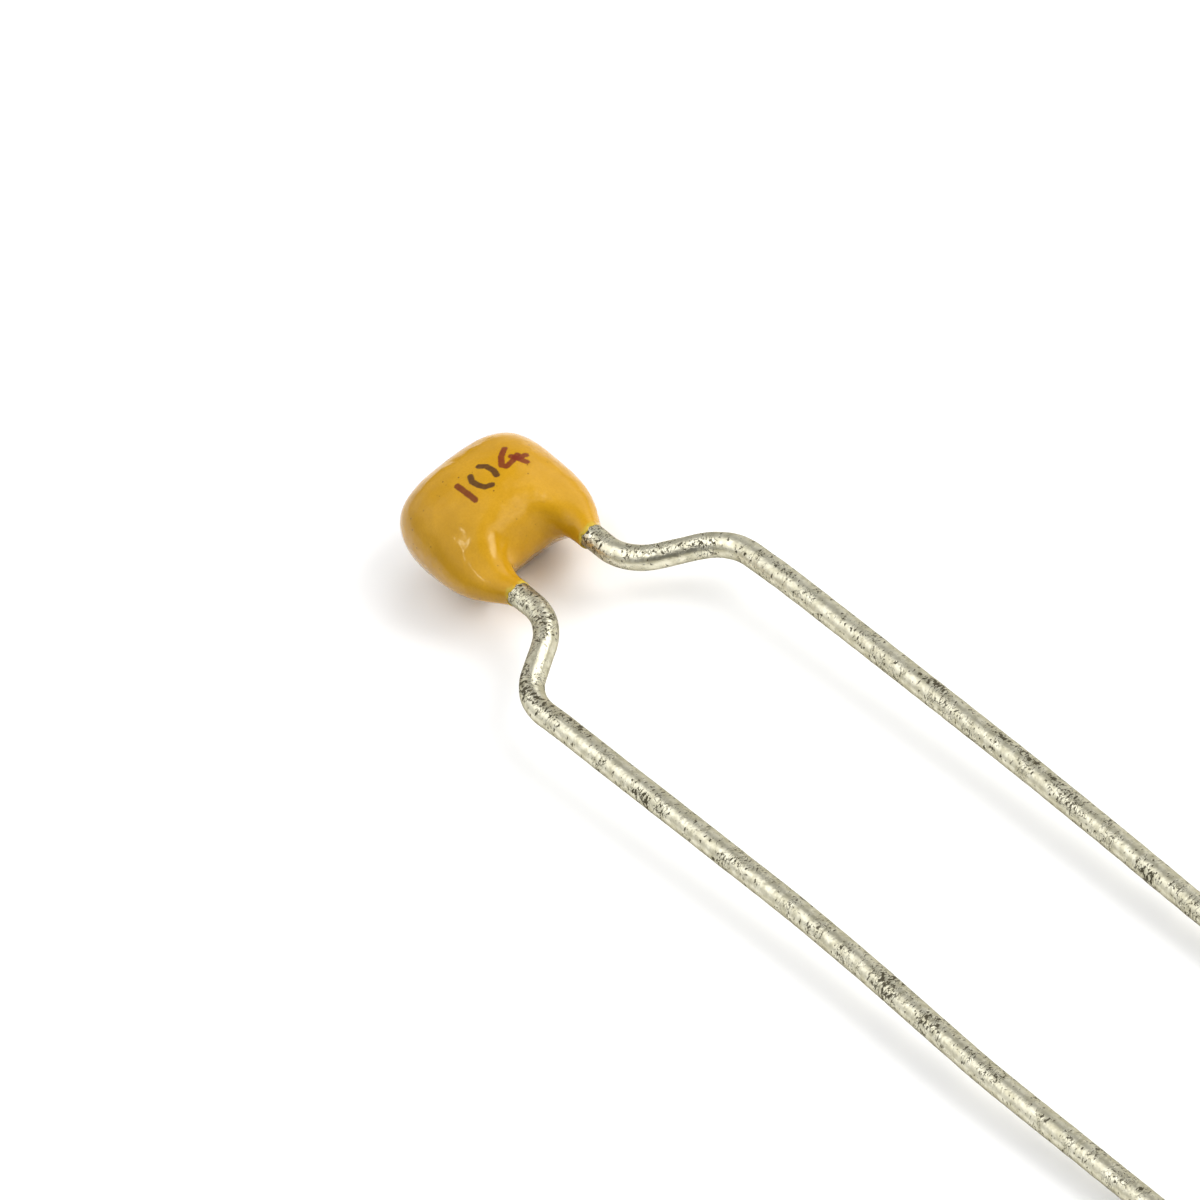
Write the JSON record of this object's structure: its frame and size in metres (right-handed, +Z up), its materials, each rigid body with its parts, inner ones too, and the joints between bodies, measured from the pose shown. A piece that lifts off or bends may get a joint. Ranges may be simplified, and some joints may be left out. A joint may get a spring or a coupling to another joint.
{
  "type": "multilayer ceramic capacitor",
  "caption": "Epoxy-dipped multilayer ceramic capacitor with two kinked radial leads, lying on its side.",
  "frame": {"origin": "centre of the bounding box's footprint, on the surface the part lies on", "axes": "+X across the leads from the left to the right one, +Y from the lead ends to the body, +Z up through the body's thickness"},
  "size_m": [0.0056, 0.0318, 0.0022],
  "materials": {
    "epoxy": "glossy ochre epoxy dip",
    "ceramic": "matt sintered ceramic",
    "electrode": "fired nickel paste",
    "termination": "tin-plated end metal",
    "solder": "dull tin solder",
    "lead": "hot-dip tinned wire, speckled"
  },
  "bodies": {
    "root": {"epoxy_coating": "epoxy", "ceramic_dielectric": "ceramic", "electrodes_left": "electrode", "electrodes_right": "electrode", "termination_left": "termination", "termination_right": "termination", "solder_left": "solder", "solder_right": "solder", "lead_left": "lead", "lead_right": "lead"}
  },
  "joints": []
}
